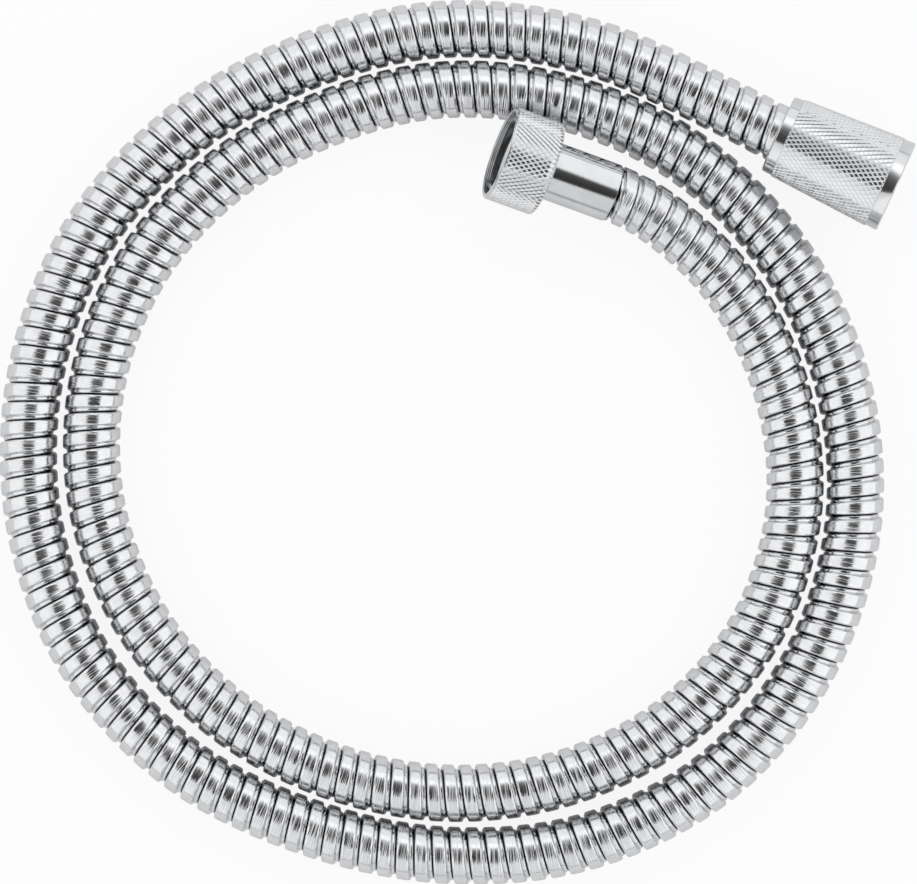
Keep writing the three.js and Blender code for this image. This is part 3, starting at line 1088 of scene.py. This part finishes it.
class OBJECT_OT_shower_hose_seals(bpy.types.Operator):
    """Makes the sealing washers and the barbed nipples behind them"""

    bl_idname = "object.shower_hose_seals"
    bl_label = "Make the washers and nipples"

    def execute(self, context):
        finish = context.scene.shower_hose_finish
        rubber, brass = washer_material(finish), brass_material(finish)
        for end, (joint_name, shoulder, _) in FITTINGS.items():
            flange_back = shoulder - GAP
            flange_front = flange_back - FLANGE_THICKNESS
            washer = self.washer(f"{end}_washer_moulded", flange_front - GAP)
            finish_piece(washer, joint_name, "hose", f"{end}_washer", rubber)
            nipple = self.nipple(f"{end}_nipple_turned", flange_front, flange_back, shoulder)
            finish_piece(nipple, joint_name, "hose", f"{end}_nipple", brass)
        return {"FINISHED"}

    def washer(self, name, back):
        front, bore, edge = back - WASHER_THICKNESS, WASHER_BORE_RADIUS, WASHER_EDGE
        outline = [
            (bore, front + edge), (bore + edge, front), (SEAL_RADIUS - edge, front),
            (SEAL_RADIUS, front + edge), (SEAL_RADIUS, back - edge), (SEAL_RADIUS - edge, back),
            (bore + edge, back), (bore, back - edge),
        ]
        washer = turned(name, outline, TURNING_STEPS)
        apply_modifier(washer, "BEVEL", width=WASHER_BEVEL, segments=2, limit_method="ANGLE")
        return washer

    def nipple(self, name, flange_front, flange_back, shoulder):
        lip_back = shoulder + LIP_THICKNESS
        pitch = SPIGOT_LENGTH / (BARB_COUNT + 1)
        valley = BARB_RADIUS - BARB_HEIGHT
        outline = [
            (NIPPLE_BORE_RADIUS + NIPPLE_FLARE, flange_front),
            (SEAL_RADIUS - FLANGE_CHAMFER, flange_front), (SEAL_RADIUS, flange_front + FLANGE_CHAMFER),
            (SEAL_RADIUS, flange_back), (TUBE_RADIUS, flange_back), (TUBE_RADIUS, lip_back),
            (valley, lip_back),
        ]
        for barb in range(1, BARB_COUNT + 1):
            root = lip_back + barb * pitch
            outline += [(valley, root), (BARB_RADIUS, root), (valley, root + BARB_SLOPE * pitch)]
        spigot_end = lip_back + SPIGOT_LENGTH
        outline += [
            (valley, spigot_end), (NIPPLE_BORE_RADIUS, spigot_end),
            (NIPPLE_BORE_RADIUS, flange_front + NIPPLE_FLARE),
        ]
        return turned(name, outline, TURNING_STEPS)


# The studio


class OBJECT_OT_shower_hose_studio(bpy.types.Operator):
    """Sets the camera, the pale floor and the soft light"""

    bl_idname = "object.shower_hose_studio"
    bl_label = "Set up the studio"

    def execute(self, context):
        studio = context.scene.shower_hose_studio
        context.scene.view_settings.view_transform = "Standard"
        self.place_camera(context.scene, studio)
        self.lay_floor(studio)
        self.light_world(context.scene)
        self.hang_card()
        return {"FINISHED"}

    def place_camera(self, scene, studio):
        data = bpy.data.cameras.new("camera")
        data.sensor_width = SENSOR_WIDTH
        distance = studio.camera_height - scene.shower_hose_armour.diameter / 2
        data.lens = data.sensor_width * distance / (PHOTO_WIDTH * PIXEL_SIZE)
        camera = bpy.data.objects.new("camera", data)
        camera.location = (0, 0, studio.camera_height)
        scene.collection.objects.link(camera)
        scene.camera = camera

    def stage_plane(self, name, size):
        """A level plane at the origin with a material, and that material's nodes."""
        bpy.ops.object.select_all(action="DESELECT")
        bpy.ops.mesh.primitive_plane_add(size=size, location=(0, 0, 0))
        plane = bpy.context.active_object
        plane.name = name
        material = bpy.data.materials.new(name)
        plane.data.materials.append(material)
        return plane, Nodes(material)

    def lay_floor(self, studio):
        floor, nodes = self.stage_plane("floor", studio.floor_size)
        paint = nodes.add("ShaderNodeBsdfDiffuse", {}, {"Color": opaque(studio.floor)})
        white = nodes.add("ShaderNodeEmission", {}, {"Color": (1, 1, 1, 1), "Strength": 1.0})
        camera, glossy, transmitted = (
            nodes.add("ShaderNodeLightPath", {}, {}, output=name)
            for name in ("Is Camera Ray", "Is Glossy Ray", "Is Transmission Ray")
        )
        whitened = FLOOR_WHITENESS * camera + FLOOR_MIRRORED_WHITENESS * (glossy + transmitted)
        nodes.surface(nodes.add("ShaderNodeMixShader", {}, {0: whitened, 1: paint, 2: white}))

    def light_world(self, scene):
        world = bpy.data.worlds.new("light_tent")
        scene.world = world
        nodes = Nodes(world)
        x, y, z = nodes.add("ShaderNodeTexCoord", {}, {}, output="Generated").parts()
        above = z.between(0.02, 0.09)
        level = self.tent_level(x, y) * (HORIZON_LEVEL + (1 - HORIZON_LEVEL) * above)
        sky = nodes.add("ShaderNodeBackground", {}, {"Color": level, "Strength": 1.0})
        nodes.add("ShaderNodeOutputWorld", {}, {"Surface": sky})

    def tent_level(self, x, y):
        """Brightness of the tent in a direction: its walls at both sides are brighter than the rest."""
        left, right = (-1 * x).between(0.3, 0.45), x.between(0.36, 0.5)
        far = y.between(0.2, 0.5)
        sides = (LEFT_WALL * left + RIGHT_WALL * right) * (1 - FAR_SHADE * far)
        return TENT_LEVEL + sides + FAR_WALL * far

    def hang_card(self):
        """Hangs a card over the camera whose middle is dark, for the polished faces to mirror."""
        card, nodes = self.stage_plane("overhead_card", CARD_SIZE)
        lay_in_place(card, Matrix.Translation((0, 0, CARD_HEIGHT)))
        place = nodes.add("ShaderNodeTexCoord", {}, {}, output="Object")
        x, y, _ = place.parts()
        direction = nodes.add("ShaderNodeVectorMath", {"operation": "NORMALIZE"}, {0: place})
        tent = self.tent_level(*direction.parts()[:2])
        across = nodes.maths("ABSOLUTE", x - FIELD_MIDDLE) * (1 / FIELD_HALF_WIDTH)
        near = nodes.maths("MAXIMUM", -1 * y, 0) * (1 / FIELD_REACH)
        across, near = (nodes.maths("POWER", share, FIELD_CORNER_POWER) for share in (across, near))
        field = 1 - (across + near).between(0.9, 1.15)
        stops = [
            (stop / CARD_SIZE + 0.5, [level / FIELD_BRIGHTEST] * 3) for stop, level in FIELD_LEVELS
        ]
        ramp = nodes.add("ShaderNodeValToRGB", {"stops": stops}, {0: y * (1 / CARD_SIZE) + 0.5})
        level = tent * (1 - field) + ramp * FIELD_BRIGHTEST * field
        nodes.principled_surface({
            "Base Color": (0, 0, 0, 1), "Specular IOR Level": 0.0, "Emission Color": level,
            "Emission Strength": 1.0,
        })


class VIEW3D_PT_shower_hose(bpy.types.Panel):
    """Lists the steps that make the hose and its studio"""

    bl_label = "Shower hose"
    bl_space_type = "VIEW_3D"
    bl_region_type = "UI"
    bl_category = "Shower hose"

    def draw(self, context):
        for operator in OPERATORS:
            self.layout.operator(operator.bl_idname)


GROUPS = {
    "shower_hose_armour": ShowerHoseArmour,
    "shower_hose_nuts": ShowerHoseNuts,
    "shower_hose_finish": ShowerHoseFinish,
    "shower_hose_studio": ShowerHoseStudio,
}
OPERATORS = [
    OBJECT_OT_shower_hose_studio, OBJECT_OT_shower_hose_armour, OBJECT_OT_shower_hose_tube,
    OBJECT_OT_shower_hose_wall_nut, OBJECT_OT_shower_hose_cone_nut, OBJECT_OT_shower_hose_sleeves,
    OBJECT_OT_shower_hose_seals, OBJECT_OT_shower_hose_cord,
]


def register():
    for name, group in GROUPS.items():
        bpy.utils.register_class(group)
        setattr(bpy.types.Scene, name, PointerProperty(type=group))
    for operator in OPERATORS:
        bpy.utils.register_class(operator)
    bpy.utils.register_class(VIEW3D_PT_shower_hose)


def unregister():
    bpy.utils.unregister_class(VIEW3D_PT_shower_hose)
    for operator in reversed(OPERATORS):
        bpy.utils.unregister_class(operator)
    for name, group in reversed(GROUPS.items()):
        delattr(bpy.types.Scene, name)
        bpy.utils.unregister_class(group)


def main():
    register()
    bpy.ops.object.shower_hose_studio()
    bpy.ops.object.shower_hose_armour()
    bpy.ops.object.shower_hose_tube()
    bpy.ops.object.shower_hose_wall_nut()
    bpy.ops.object.shower_hose_cone_nut()
    bpy.ops.object.shower_hose_sleeves()
    bpy.ops.object.shower_hose_seals()
    bpy.ops.object.shower_hose_cord()


if __name__ == "__main__":
    main()
